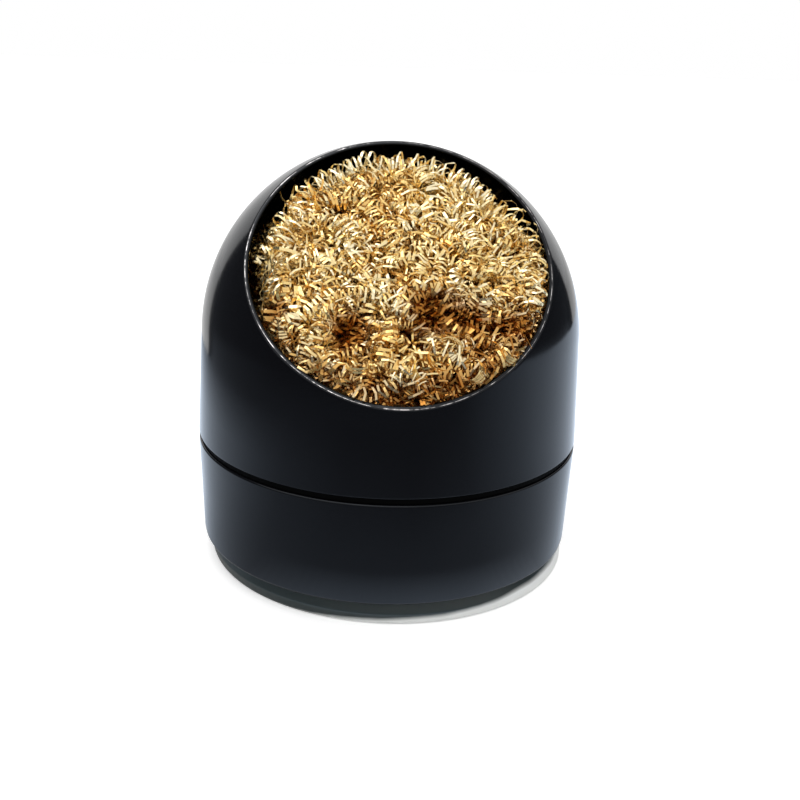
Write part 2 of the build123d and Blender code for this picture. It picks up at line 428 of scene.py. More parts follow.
def brass_material(brass, shade, grain_group):
    """Bright brass turnings: each strand has its own tint, and the ones deep in the wad, in its hollows and
    low in the mouth are painted browner: a painted shade.
    """
    finish = Finish("brass_turnings")
    ramp = finish.add("ValToRGB", Fac=finish.attribute("strand_tint"))
    stops = ramp.color_ramp.elements
    stops[0].color = (0.87, 0.53, 0.17, 1.0)
    stops[1].color = (0.98, 0.86, 0.56, 1.0)
    stops.new(0.45).color = (*brass, 1.0)
    grain = finish.placed(grain_group, Scale=1800.0, Patch_Scale=260.0)
    return finish.give(
        Base_Color=finish.mix(finish.attribute("painted_depth_shade"), ramp.outputs["Color"], shade),
        Metallic=0.92,
        Specular_Tint=(1.0, 0.85, 0.6),
        Roughness=finish.ranged(grain["Patches"], GRAIN_LOW, GRAIN_HIGH, 0.14, 0.30),
        Normal=finish.bump(grain["Grain"], 0.5),
    )


def core_material(shade, grain_group):
    """The dark inside of the wad, seen only between the curls: its near-black brown is painted shade,
    standing for the deep wool.
    """
    finish = Finish("painted_shade_core")
    grain = finish.placed(grain_group, Scale=700.0, Patch_Scale=250.0)
    return finish.give(
        Base_Color=finish.mix(grain["Grain"], (0.05, 0.02, 0.006), shade),
        Metallic=0.6,
        Roughness=0.5,
        Normal=finish.bump(grain["Grain"], 1.0, 0.6 * MM),
    )


# ---------------- cover
class Mouth:
    """The slanted mouth: its centre, its directions and the dome's centre.

    Its upper edge is the cover's highest point."""

    def __init__(self, cover):
        self.axis = Vector((0, -math.cos(cover.mouth_elevation), math.sin(cover.mouth_elevation)))
        self.right = Vector((1, 0, 0))
        self.up = self.axis.cross(self.right)
        self.radius = cover.mouth_radius
        distance = math.sqrt(cover.dome_radius**2 - cover.mouth_radius**2)
        rise = distance * self.axis.z - cover.mouth_radius * self.axis.y
        self.dome = Vector((0, 0, cover_high.z - rise))
        self.centre = self.dome + self.axis * distance

    def height(self, point):
        """How far a point stands out of the mouth's plane."""
        return (point - self.centre).dot(self.axis)

    def across(self, point):
        """Where a point lies across the mouth, as (right, up)."""
        offset = point - self.centre
        return Vector((offset.dot(self.right), offset.dot(self.up)))

    def angle(self, point):
        """Where a point lies round the mouth, from the right."""
        across = self.across(point)
        return math.atan2(across.y, across.x)


def skirt_radius(cover, height, inset):
    """Radius at a height of the skirt's outside, or of a surface set in from it."""
    above = height - Mouth(cover).dome.z
    return (cover.dome_radius - inset - above * math.sin(cover.skirt_lean)) / math.cos(cover.skirt_lean)


# the shell's profile starts just above the hem's rounding and ends just short of the dome's top
HEM_ROOM, DOME_END = 0.4 * MM, math.radians(89.9)
OUTER_ROWS, INNER_ROWS = 90, 45


def shell_line(cover, inset, rows):
    """Profile of one side of the shell, from the hem up."""
    radius = cover.dome_radius - inset
    centre = Mouth(cover).dome.z
    low = cover_low.z + HEM_ROOM
    foot = skirt_radius(cover, low, inset)
    span = DOME_END - cover.skirt_lean
    angles = [cover.skirt_lean + span * i / rows for i in range(rows + 1)]
    dome = [(radius * math.cos(angle), centre + radius * math.sin(angle)) for angle in angles]
    steps = rows // 3
    out, up = dome[0][0] - foot, dome[0][1] - low
    return [(foot + out * i / steps, low + up * i / steps) for i in range(steps)] + dome


def cut_away(bm, faces, point, normal):
    """Cut a group of faces with a plane and drop what lies on the normal's side."""
    verts = list({v for f in faces for v in f.verts})
    edges = list({e for f in faces for e in f.edges})
    bmesh.ops.bisect_plane(bm, geom=verts + edges + list(faces), dist=1e-6, plane_co=point, plane_no=normal,
                           clear_outer=True)


def raise_edge(bm, edges, mouth, steps):
    """Extrude a loop round the mouth in steps, each (outwards from the mouth's axis, along the axis)."""
    for outwards, along in steps:
        made = bmesh.ops.extrude_edge_only(bm, edges=edges)["geom"]
        edges = [e for e in made if isinstance(e, bmesh.types.BMEdge)]
        for vert in {v for e in edges for v in e.verts}:
            radial = vert.co - mouth.centre
            radial -= mouth.axis * radial.dot(mouth.axis)
            vert.co += radial.normalized() * outwards + mouth.axis * along
    return edges


def corner_steps(before, after, count=4):
    """Steps of a rounded corner in (outwards, along), given the legs to and from the corner."""
    corner = Vector(before)
    last = corner + Vector(after)
    points = [corner * 2 * t * (1 - t) + last * t**2 for t in (i / count for i in range(count + 1))]
    return [b - a for a, b in zip(points, points[1:])]


def build_cover_shell(cover, material):
    """The drawn shell: dome and skirt in one wall, cut by the slanted mouth, with a rounded edge."""
    mouth = Mouth(cover)
    hem = cover_low.z
    outer_line = shell_line(cover, 0, OUTER_ROWS)
    inner_line = shell_line(cover, cover.wall, INNER_ROWS)
    turn = rounded_profile([
        (outer_line[0], 0),
        ((skirt_radius(cover, hem, 0), hem), cover.hem_rounding),
        ((skirt_radius(cover, hem, cover.wall), hem), cover.hem_rounding),
        (inner_line[0], 0),
    ])
    bm = turned(outer_line[::-1] + turn[1:-1] + inner_line, cover.segments)
    middle = cover.dome_radius - cover.wall / 2

    def is_outer(point):
        if point.z > mouth.dome.z:
            return (point - mouth.dome).length > middle
        return math.hypot(point.x, point.y) > skirt_radius(cover, point.z, cover.wall / 2)

    high_faces = [f for f in bm.faces if f.calc_center_median().z > (hem + mouth.dome.z) / 2]
    sides = [[f for f in high_faces if is_outer(f.calc_center_median()) == outer] for outer in (True, False)]
    # the wall's direction at the mouth, as (outwards, along)
    slope = math.pi / 2 - math.asin(cover.mouth_radius / cover.dome_radius)
    wall_run = Vector((-math.sin(slope), math.cos(slope)))
    legs = (cover.outer_rounding, cover.inner_rounding)
    for faces, leg in zip(sides, legs):
        cut_away(bm, faces, mouth.centre - mouth.axis * leg * wall_run.y, mouth.axis)
    loops = [e for e in bm.edges if e.is_boundary]
    outer_loop = [e for e in loops if is_outer((e.verts[0].co + e.verts[1].co) / 2)]
    inner_loop = [e for e in loops if e not in set(outer_loop)]
    outer_end, inner_end = (
        raise_edge(bm, loop, mouth, corner_steps(wall_run * leg, Vector((side, 0)) * leg))
        for loop, leg, side in zip((outer_loop, inner_loop), legs, (-1, 1))
    )
    # 1 on the mouth's worn outer edge; -1 on its inner lip, where the enamel gets a painted shade
    worn_and_painted_shade_edge = bm.verts.layers.float.new("worn_and_painted_shade_edge")
    for vert in {v for e in outer_end for v in e.verts}:
        vert[worn_and_painted_shade_edge] = 1.0
    inside = cover.mouth_radius - cover.outer_rounding - 0.05 * MM  # clear of the mouth's outer rounding
    # the inner lip, in from the outer rounding, is marked for the painted shade
    for vert in bm.verts:
        along = mouth.height(vert.co)
        if along > -cover.inner_rounding and (vert.co - mouth.centre - mouth.axis * along).length < inside:
            vert[worn_and_painted_shade_edge] = -1.0
    bmesh.ops.bridge_loops(bm, edges=outer_end + inner_end)
    bmesh.ops.remove_doubles(bm, verts=bm.verts, dist=0.01 * MM)
    bmesh.ops.recalc_face_normals(bm, faces=bm.faces)
    finished_piece("cover_shell", bm, "cover", material, "dome_cover")


# ---------------- cup, foot
def spigot_radius(cover, cup):
    """Outside radius of the spigot that the cover is pushed over."""
    return skirt_radius(cover, cup_high.z, cover.wall) - cup.sleeve_room


def build_cup(cover, cup, material):
    """The turned cup: painted side, shoulder, spigot, bore and the recess under it."""
    top = skirt_radius(cover, cover_low.z, 0)
    foot = top - cup.side_taper
    recess = foot - cup.recess_wall
    spigot = spigot_radius(cover, cup)
    bore = spigot - cup.spigot_wall
    floor = recess_height + cup.floor_thickness
    bore_floor = bore - (cup_high.z - floor) * math.tan(cup.bore_draft)
    edge = cup.edge_rounding
    bm = turned(rounded_profile([
        ((0, recess_height), 0),
        ((recess, recess_height), 0),
        ((recess, cup_low.z), edge / 2),
        ((foot, cup_low.z), edge),
        ((top, shoulder_height), edge),
        ((spigot, shoulder_height), 0),
        ((spigot, cup_high.z), edge),
        ((bore, cup_high.z), edge),
        ((bore_floor, floor), 5 * edge),
        ((0, floor), 0),
    ]), cup.segments)
    piece = finished_piece("cup_body", bm, "base", material, "base_cup")
    piece.data.set_sharp_from_angle(angle=math.radians(35))


def build_foot(foot, material):
    """The silicone pad: rounded lower edge, a ring it stands on and grip ribs inside it."""
    radius = pad_high.x
    recess = radius - foot.rim_width
    top, low = pad_high.z, pad_low.z
    groove = low + foot.recess_depth
    small = 0.3 * MM
    neck = cup_low.z - small
    bulge = radius + foot.flare
    corners = [((0, top), 0), ((radius, top), 2 * small), ((radius, neck), small),
               ((bulge, neck / 2), 3 * small), ((bulge, low), foot.edge_rounding), ((recess, low), small),
               ((recess, groove), small)]
    for rib in reversed(range(foot.rib_count)):
        middle = recess * (rib + 1) / (foot.rib_count + 1)
        outer, inner = middle + foot.rib_width / 2, middle - foot.rib_width / 2
        corners += [((outer, groove), small), ((outer, low), small), ((inner, low), small),
                    ((inner, groove), small)]
    corners.append(((0, groove), 0))
    bm = turned(rounded_profile(corners), foot.segments)
    for vert in bm.verts:
        vert.co.x += foot.offset * max(0.0, 1 - vert.co.z / neck)
    finished_piece("foot_ring", bm, "base", material, "foot_pad")


# ---------------- brass wool
# dents in the wad's front: right, up, radius, depth, in millimetres
HOLLOWS = ((-9.0, -13.5, 3.3, 3.8), (4.8, -9.5, 3.9, 3.8), (11.5, -10.8, 3.8, 3.4), (18.5, -12.0, 2.8, 2.8),
           (-21.0, -9.0, 2.4, 2.0))
# curls that lie end on: right, up, radius, in millimetres
RINGS = ((5.6, -19.0, 2.5), (2.7, -21.5, 1.9), (-8.1, -20.4, 2.1), (8.5, -16.8, 2.2), (12.2, -21.0, 2.0),
         (18.4, -17.9, 1.7), (-16.5, -9.5, 1.9), (10.0, 2.0, 2.0), (-14.0, 12.5, 1.9))
# rows of loops along the wad's upper edge: height out of the mouth, radius, in millimetres
EDGE_ROWS = ((1.3, 1.9), (0.3, 1.7), (-1.0, 1.6))
# angles round the mouth between which the loops stand, in degrees from the right
EDGE_START, EDGE_END = -30, 195
# how far from the mouth's centre the loops reach, and how much less at the upper side, in millimetres
EDGE_CREST, EDGE_DROP = 26.2, 2.1
# the wad's front is raised and spread from one height over the mouth's plane to another
CREST_RISE = 0.7 * MM
FRONT_BEGINS, FRONT_ENDS = -8 * MM, -1 * MM
# the mouth's lowest place, in degrees from the right, and how far from there the upper side sets in
LOWEST_ANGLE = -70
UPPER_BEGINS, UPPER_ENDS = 82, 104
# how far the wad spreads over its solid at the mouth's edge, and how much less at the upper side, in mm
LOWER_SPREAD, UPPER_LESS = 2.7, 2.3
# the wad's upper side stands clear of the cover down to a depth; what is too wide is drawn in and back
UPPER_SIDE_RADIUS = 24.4 * MM
UPPER_SIDE_DEPTH = 12 * MM
DRAWN_IN, DRAWN_BACK = 0.88, 0.5
# a curl is painted browner with its depth under the wad's surface, from a depth and over a span: a painted
# shade
SHADE_START, SHADE_SPAN = 1.8 * MM, 4.2 * MM
# clumps, hollows, the mouth's lower half and the wad's lower edge count as depth too, so they get the same
# painted shade
CLUMP_SHADE, HOLLOW_SHADE, LOW_SHADE, UNDER_SHADE = 4.0 * MM, 1.7, 2.0, 2.6
# how far from the mouth's axis the lower edge begins and is fully shaded
UNDER_BEGINS, UNDER_ENDS = 20 * MM, 26 * MM
# room that the wool keeps from the shell and from the cup's bore
SHELL_ROOM, BORE_ROOM = 0.25 * MM, 0.3 * MM
# side of the cells in which the half turns of the curls are counted
CROWD_CELL = 2.5 * MM


def is_upper(angle):
    """1 at the mouth's upper edge, where the wad stands clear of it, and 0 at the lower, where it touches."""
    turn = (math.degrees(angle) - LOWEST_ANGLE + 180) % 360 - 180
    return eased(abs(turn), UPPER_BEGINS, UPPER_ENDS)


def hollow_depth(across):
    """How deep the wad is pressed in at a place across the mouth."""
    return MM * sum(
        depth * math.exp(-((across - Vector((u, v)) * MM).length / (radius * MM)) ** 2)
        for u, v, radius, depth in HOLLOWS
    )


def shrunk_ball(mouth, radius, subdivisions, tree):
    """A ball shrunk onto a form from outside, towards the dome's centre."""
    ball = bmesh.new()
    bmesh.ops.create_icosphere(ball, subdivisions=subdivisions, radius=radius)
    for vert in ball.verts:
        direction = vert.co.normalized()
        vert.co = tree.ray_cast(mouth.dome + direction * 2 * radius, -direction)[0]
    return ball


def wad_form(cover, mouth):
    """The wad's outer form, which the crests of the curls reach: its solid, spread and raised in front."""
    solid = bmesh.new()
    solid.from_mesh(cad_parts["brass_wool"].data)
    bmesh.ops.remove_doubles(solid, verts=solid.verts, dist=1e-6)
    form = shrunk_ball(mouth, cover.dome_radius, 6, BVHTree.FromBMesh(solid))
    solid.free()
    for vert in form.verts:
        along, across = mouth.height(vert.co), mouth.across(vert.co)
        front = eased(along, FRONT_BEGINS, FRONT_ENDS)
        upper = is_upper(mouth.angle(vert.co))
        share = min(1.0, across.length / mouth.radius)
        outward = across.normalized()
        shift = outward * (LOWER_SPREAD - UPPER_LESS * upper) * MM * front * share**2
        room = UPPER_SIDE_RADIUS + max(0.0, -along - UPPER_SIDE_DEPTH)
        spare = max(0.0, across.length - room) * upper
        shift -= outward * spare * DRAWN_IN
        rise = front * CREST_RISE - spare * DRAWN_BACK
        vert.co = vert.co + mouth.right * shift.x + mouth.up * shift.y + mouth.axis * rise
    bmesh.ops.recalc_face_normals(form, faces=form.faces)
    return form


def wool_shade(mouth, point):
    """How much painted shade a place in the wad gets, counted as extra depth: in hollows, low in the mouth
    and at its lower edge.
    """
    across = mouth.across(point)
    low = min(1.0, max(0.0, -across.y / mouth.radius))
    under = eased(across.length, UNDER_BEGINS, UNDER_ENDS) * (1 - is_upper(mouth.angle(point)))
    return HOLLOW_SHADE * hollow_depth(across) + (low * LOW_SHADE + under * UNDER_SHADE) * MM


class Tangle:
    """Lays curls of ribbon along the wad's form and keeps count of where they crowd."""

    def __init__(self, cover, cup, wool, mouth, form, seed):
        self.wool = wool
        self.mouth = mouth
        self.ball = cover.dome_radius - cover.wall - SHELL_ROOM
        self.bore = spigot_radius(cover, cup) - cup.spigot_wall - BORE_ROOM
        self.draft = math.tan(cup.bore_draft)
        self.tree = BVHTree.FromBMesh(form)
        self.rng = random.Random(seed)
        self.crowd = {}
        self.turns_laid = 0

    def keep_inside(self, point):
        """A point of the wool, moved clear of the cover and the cup."""
        offset = point - self.mouth.dome
        if self.mouth.height(point) < 0 and offset.length > self.ball:
            point = self.mouth.dome + offset.normalized() * self.ball
        if point.z < cup_high.z + BORE_ROOM:
            room = self.bore - (cup_high.z - point.z) * self.draft
            level = math.hypot(point.x, point.y)
            if level > room:
                point = Vector((point.x * room / level, point.y * room / level, point.z))
        return point

    @staticmethod
    def cell(point):
        return tuple(math.floor(part / CROWD_CELL) for part in point)

    def crowding(self, point):
        x, y, z = self.cell(point)
        return sum(
            self.crowd.get((x + i, y + j, z + k), 0)
            for i in (-1, 0, 1) for j in (-1, 0, 1) for k in (-1, 0, 1)
        )

    def surface(self, point):
        return self.tree.find_nearest(point)[:2]

    def start_of(self, candidates, depth, tries=10):
        """The least crowded of a few random places at a depth."""
        best, best_score = None, None
        for _ in range(tries):
            place, normal = self.surface(self.rng.choice(candidates))
            centre = place - normal * depth
            score = self.crowding(centre) + 0.01 * self.rng.random()
            if best_score is None or score < best_score:
                best, best_score = (centre, normal), score
        return best

    def scatter(self, spread):
        return Vector([self.rng.gauss(0, spread) for _ in range(3)])

    def random_tangent(self, normal):
        direction = self.scatter(1)
        return (direction - normal * direction.dot(normal)).normalized()

    def curl(self, centre, axis, depth, turns, radius, pitch, width, steps, wander, follow=0.5, hug=0.7,
             bright=0.0):
        """One curl of ribbon as its own closed mesh: a section spun round an axis that wanders.

        After each half turn its centre is drawn to a depth under the form by a share, follow, and its axis
        is laid along the form by a share, hug."""
        rng = self.rng
        bm = bmesh.new()
        tint_layer = bm.verts.layers.float.new("strand_tint")
        painted_shade_layer = bm.verts.layers.float.new("painted_depth_shade")
        side = axis.orthogonal().normalized()
        side.rotate(Matrix.Rotation(rng.uniform(0, 2 * math.pi), 3, axis))
        half = self.wool.ribbon_thickness / 2
        corners = [(-width / 2, -half), (width / 2, -half), (width / 2, half), (-width / 2, half)]
        verts = [bm.verts.new(centre + side * (radius + out) + axis * along) for along, out in corners]
        section = [bm.edges.new((verts[i], verts[(i + 1) % 4])) for i in range(4)]
        bmesh.ops.contextual_create(bm, geom=section)
        half_turn = rng.choice((-1, 1)) * math.pi
        for _ in range(2 * turns):
            advance = axis * pitch / 2
            made = bmesh.ops.spin(bm, geom=section, cent=centre, axis=axis, angle=half_turn,
                                  dvec=advance / (steps // 2), steps=steps // 2)
            section = [e for e in made["geom_last"] if isinstance(e, bmesh.types.BMEdge)]
            ends = list({v for e in section for v in e.verts})
            centre = centre + advance
            place, normal = self.surface(centre)
            shift = (place - normal * depth - centre) * follow
            centre = centre + shift
            turned_axis = (axis - normal * axis.dot(normal) * hug + self.scatter(wander)).normalized()
            rotation = axis.rotation_difference(turned_axis).to_matrix()
            bmesh.ops.translate(bm, verts=ends, vec=shift)
            bmesh.ops.rotate(bm, verts=ends, cent=centre, matrix=rotation)
            axis = turned_axis
            key = self.cell(centre)
            self.crowd[key] = self.crowd.get(key, 0) + 1
        bmesh.ops.contextual_create(bm, geom=section)
        bmesh.ops.recalc_face_normals(bm, faces=bm.faces)
        patch = noise.noise(centre / (4.0 * MM))
        clump = max(0.0, noise.noise(centre / (5.5 * MM) + Vector((7.3, 2.1, 4.9)))) * CLUMP_SHADE
        tint = min(1.0, max(0.0, 0.5 + bright + 0.6 * patch + rng.uniform(-0.4, 0.4)))
        for vert in bm.verts:
            vert.co = self.keep_inside(vert.co)
            place, normal = self.surface(vert.co)
            below = (place - vert.co).dot(normal)
            vert[tint_layer] = tint
            # painted shade: depth under the form, hollows, the lower half, the lower edge and clumps darken
            # the strand towards the shade colour
            shaded = below + wool_shade(self.mouth, vert.co) + clump - SHADE_START
            vert[painted_shade_layer] = min(1.0, max(0.0, shaded / SHADE_SPAN))
        self.turns_laid += turns
        return bm


def gather(curls):
    """Join many small meshes into one."""
    whole = bmesh.new()
    whole.verts.layers.float.new("strand_tint")
    whole.verts.layers.float.new("painted_depth_shade")
    for bm in curls:
        part = bpy.data.meshes.new("curl")
        bm.to_mesh(part)
        bm.free()
        whole.from_mesh(part)
        bpy.data.meshes.remove(part)
    return whole


def wool_piece(name, bm, material, smooth=False):
    finished_piece(name, bm, "insert", material, "brass_wool", smooth)


def build_core(cover, wool, mouth, form, material):
    """The dark middle of the wad, seen only between the curls: a painted shade for the deep wool."""
    inner = form.copy()
    inner.normal_update()
    for vert in inner.verts:
        vert.co -= vert.normal * wool.core_depth
    core = shrunk_ball(mouth, cover.dome_radius, 5, BVHTree.FromBMesh(inner))
    inner.free()
    for vert in core.verts:
        lump = noise.noise(vert.co / (2.2 * MM)) * 0.7 * MM
        vert.co += (vert.co - mouth.dome).normalized() * lump
    wool_piece("painted_shade_core", core, material, smooth=True)


def places_between(form, mouth, low, high, wanted=None):
    """Places on the form whose height over the mouth's plane lies between two values in millimetres."""
    places = [v.co.copy() for v in form.verts if low * MM <= mouth.height(v.co) < high * MM]
    return [place for place in places if wanted is None or wanted(place)]


def lay_curls(tangle, places, depth, turns_wanted, size=1.0, steps=10):
    """Curls that run along the form at one depth in millimetres until enough turns are laid."""
    wool, rng = tangle.wool, tangle.rng
    curls = []
    stop = tangle.turns_laid + turns_wanted
    while tangle.turns_laid < stop:
        level = depth * MM + rng.uniform(-0.6, 0.6) * MM
        centre, normal = tangle.start_of(places, level)
        axis = (tangle.random_tangent(normal) + normal * rng.gauss(0, 0.5)).normalized()
        coarse = noise.noise(centre / (7 * MM) + Vector((3.1, 8.7, 1.9)))
        patch_size = size * (1 + 0.55 * coarse)
        width = wool.ribbon_width * size * (1 + 0.2 * coarse) * rng.uniform(0.7, 1.3)
        curls.append(tangle.curl(
            centre, axis, level, rng.randint(2, 7),
            radius=wool.curl_radius * patch_size * rng.uniform(0.65, 1.35),
            pitch=max(1.3 * width, wool.curl_pitch * patch_size * rng.uniform(0.5, 1.8)),
            width=width,
            steps=steps,
            wander=rng.uniform(0.1, 0.45),
            bright=0.25 * coarse,
        ))
    return curls


def lay_edge_loops(tangle):
    """Open loops that stand in rows along the wad's upper edge."""
    wool, rng, mouth = tangle.wool, tangle.rng, tangle.mouth
    curls = []
    for height, loop in EDGE_ROWS:
        angle = math.radians(EDGE_START)
        while angle < math.radians(EDGE_END):
            outward = mouth.right * math.cos(angle) + mouth.up * math.sin(angle)
            along = mouth.up * math.cos(angle) - mouth.right * math.sin(angle)
            radius = loop * rng.uniform(0.6, 1.25) * MM
            crest = (EDGE_CREST - EDGE_DROP * is_upper(angle) - height * 0.3 + rng.uniform(-1.2, 0.3)) * MM
            centre = mouth.centre + outward * (crest - radius) + mouth.axis * (height * MM)
            place, normal = tangle.surface(centre)
            turns = rng.randint(1, 4)
            pitch = rng.uniform(1.2, 3.2) * MM
            lean = normal * rng.gauss(0, 0.35) + outward * rng.gauss(0, 0.35)
            curls.append(tangle.curl(
                centre, (along + lean).normalized(), (place - centre).dot(normal), turns,
                radius=radius, pitch=pitch, width=wool.ribbon_width * rng.uniform(0.8, 1.15),
                steps=12, wander=0.2, follow=0.6, bright=rng.uniform(0.1, 0.45),
            ))
            angle += turns * pitch * rng.uniform(0.6, 1.15) / mouth.radius
    return curls


def lay_rings(tangle):
    """Curls that lie end on in the front, so that they show as rings."""
    mouth, level = tangle.mouth, 1.5 * MM
    curls = []
    for u, v, radius in RINGS:
        place, normal = tangle.surface(
            mouth.centre + (mouth.right * u + mouth.up * v) * MM + mouth.axis * 2 * MM
        )
        facing = (normal + tangle.random_tangent(normal) * 0.35).normalized()
        curls.append(tangle.curl(
            place - normal * level, facing, level, tangle.rng.randint(3, 5), radius=radius * MM,
            pitch=0.65 * MM, width=tangle.wool.ribbon_width, steps=16, wander=0.06, follow=0.1, hug=0.0,
        ))
    return curls


def build_front_wool(tangle, form, material):
    """The curls that show in the mouth, in layers from the core outwards."""
    places = places_between(form, tangle.mouth, -2.4, 20)
    layers = {
        "wool_deep_curls": lay_curls(tangle, places, 4.0, 900),
        "wool_middle_curls": lay_curls(tangle, places, 2.8, 1700),
        "wool_top_curls": lay_curls(tangle, places, 1.5, 2200),
        "wool_crest_curls": lay_curls(tangle, places, 1.0, 1400, size=0.66),
        "wool_edge_loops": lay_edge_loops(tangle) + lay_rings(tangle),
    }
    for name, curls in layers.items():
        wool_piece(name, gather(curls), material)


def build_hidden_wool(tangle, form, material):
    """Coarser curls on the rest of the wad, seen once the cover is lifted.

    They cover the dome's side above the cup and reach up to the mouth, nearer to it along its lower side."""
    mouth = tangle.mouth
    places = places_between(form, mouth, -90, -8.5, lambda place: place.z > cup_high.z - 0.5 * MM)
    places += places_between(form, mouth, -8.5, -4.5, lambda place: is_upper(mouth.angle(place)) > 0.9)
    places += places_between(form, mouth, -8.5, -3.0, lambda place: is_upper(mouth.angle(place)) < 0.1)
    for name, depth, turns in (("wool_side_deep_curls", 3.4, 900), ("wool_side_curls", 2.0, 1700)):
        wool_piece(name, gather(lay_curls(tangle, places, depth, turns, size=1.3, steps=8)), material)


# ---------------- stage
# distances of the card's rings from the middle, in millimetres; the last ring is the screen's foot
CARD_DISTANCES = (38.5, 52, 75, 115)
CARD_HEIGHT = 0.4 * MM
# brightness of the card's rings at angles round from the front, left to right
CARD_GLOW = (
    (-180, (1.10, 1.40, 1.50, 1.50, 1.40)),
    (-125, (0.90, 1.35, 1.50, 1.20, 0.28)),
    (-85, (0.60, 0.80, 1.05, 1.05, 0.20)),
    (-55, (0.50, 0.50, 0.52, 0.52, 0.24)),
    (-25, (1.90, 0.46, 0.38, 0.26, 0.12)),
    (10, (2.40, 0.45, 0.34, 0.19, 0.10)),
    (35, (2.00, 0.50, 0.50, 0.35, 0.20)),
    (60, (0.80, 0.70, 0.80, 0.85, 0.80)),
    (80, (0.80, 0.85, 1.00, 1.20, 1.25)),
    (125, (1.10, 1.35, 1.45, 1.40, 1.30)),
    (180, (1.10, 1.40, 1.50, 1.50, 1.40)),
)
# height on the screen, as a share of it, and brightness there
WALL_GLOW = ((0.1, 0.20), (0.3, 0.08), (1.0, 0.04))
# where the screen rises from its height in front to its height at the sides, in degrees from the front
SIDE_BEGINS, SIDE_ENDS = 60, 95
# where the screen moves out from its distance in front to its distance at the right
RIGHT_BEGINS, RIGHT_ENDS = 15, 75
# behind this angle there is no screen, and its folded-down foot is as bright as the card
BACK_ANGLE = 150


def build_floor(studio):
    """A white floor that keeps its white to the camera and takes the object's shadow."""
    bm = bmesh.new()
    bmesh.ops.create_grid(bm, x_segments=8, y_segments=8, size=studio.floor_size / 2)
    finish = Finish("white_floor")
    lift = finish.maths("MULTIPLY", finish.add("LightPath").outputs["Is Camera Ray"], 0.4)
    material = finish.give(Base_Color=(0.90, 0.90, 0.90), Roughness=0.6, Emission_Color=(1, 1, 1),
                           Emission_Strength=lift)
    linked("floor", bm, material, smooth=False)


def card_glow(angle, column):
    """Brightness of one ring of the card at an angle, from CARD_GLOW."""
    angles, glows = zip(*CARD_GLOW)
    return float(numpy.interp(angle, angles, [glow[column] for glow in glows]))


def build_screen(studio):
    """A grey card on the table with a dark screen round its front, which show only in reflections."""
    rings = [distance * MM for distance in CARD_DISTANCES] + [studio.screen_front]
    card = [(0, -distance, CARD_HEIGHT) for distance in rings]
    wall = [(0, -studio.screen_front, share * studio.screen_height) for share, _ in WALL_GLOW]
    bm = spun(card + wall, 90)
    glow_layer = bm.verts.layers.float.new("glow")
    reach = (-math.degrees(studio.screen_left_reach), math.degrees(studio.screen_reach))
    for vert in bm.verts:
        angle = math.degrees(math.atan2(vert.co.x, -vert.co.y))
        distance = math.hypot(vert.co.x, vert.co.y)
        if vert.co.z > 1 * MM:
            share = vert.co.z / studio.screen_height
            vert[glow_layer] = min(WALL_GLOW, key=lambda row: abs(row[0] - share))[1]
            side = eased(abs(angle), SIDE_BEGINS, SIDE_ENDS)
            vert.co.z *= 1 + (studio.screen_side_height / studio.screen_height - 1) * side * share
            if not reach[0] < angle < reach[1]:
                vert.co.z = 1 * MM
            if abs(angle) > BACK_ANGLE:
                vert[glow_layer] = card_glow(angle, len(CARD_DISTANCES))
            lean = math.copysign(studio.screen_lean * side * share**2, angle)
            vert.co.rotate(Matrix.Rotation(lean, 3, "Z"))
        else:
            column = min(range(len(rings)), key=lambda i: abs(rings[i] - distance))
            vert[glow_layer] = card_glow(angle, column)
        if distance > studio.screen_front - 1 * MM:
            right = (studio.screen_right / studio.screen_front - 1) * eased(angle, RIGHT_BEGINS, RIGHT_ENDS)
            vert.co.x *= 1 + right
            vert.co.y *= 1 + right
    finish = Finish("screen_grey")
    material = finish.give(Base_Color=(0, 0, 0), Roughness=1.0, Specular_IOR_Level=0.0,
                           Emission_Color=(0.80, 0.91, 1.06), Emission_Strength=finish.attribute("glow"))
    screen = linked("dark_screen", bm, material)
    screen.visible_camera = screen.visible_diffuse = screen.visible_shadow = False


def build_camera(studio):
    """The camera, turned by its heading, its pitch and its roll."""
    azimuth = studio.camera_azimuth
    place = Vector((-math.sin(azimuth), -math.cos(azimuth), 0)) * studio.camera_distance
    place.z = studio.camera_height
    heading = Matrix.Rotation(-azimuth - studio.camera_yaw, 4, "Z")
    pitch = Matrix.Rotation(math.pi / 2 - studio.camera_pitch, 4, "X")
    roll = Matrix.Rotation(-studio.camera_roll, 4, "Z")
    data = bpy.data.cameras.new("camera")
    data.sensor_width = 36
    data.angle = studio.camera_view
    data.clip_end = 20
    camera = new_object("camera", data)
    camera.matrix_world = Matrix.Translation(place) @ heading @ pitch @ roll
    bpy.context.scene.camera = camera


def build_softbox():
    """A soft light above the object, a little to the left and in front."""
    data = bpy.data.lights.new("top_softbox", "AREA")
    data.shape = "RECTANGLE"
    data.size, data.size_y = 0.5, 0.4
    data.energy = 1.2
    light = new_object("top_softbox", data)
    light.location = (-0.15, -0.1, 0.6)
    light.rotation_euler = (Vector((0, 0, 0.04)) - light.location).to_track_quat("-Z", "Y").to_euler()


def build_world():
    """White to the camera and in reflections; the light that it gives is a little stronger from behind."""
    world = bpy.data.worlds.new("studio")
    bpy.context.scene.world = world
    world.use_nodes = True
    tree = Tree(world.node_tree)
    tree.nodes.clear()
    direction = tree.add("SeparateXYZ", Vector=tree.add("TexCoord").outputs["Generated"])
    strength = tree.ranged(direction.outputs["Y"], -0.55, 0.15, 0.7, 1.0)
    path = tree.add("LightPath").outputs
    for ray in ("Is Camera Ray", "Is Glossy Ray", "Is Transmission Ray"):
        strength = tree.maths("MAXIMUM", strength, path[ray])
    background = tree.add("Background", Color=(1, 1, 1), Strength=strength)
    tree.add("OutputWorld", Surface=background.outputs[0])


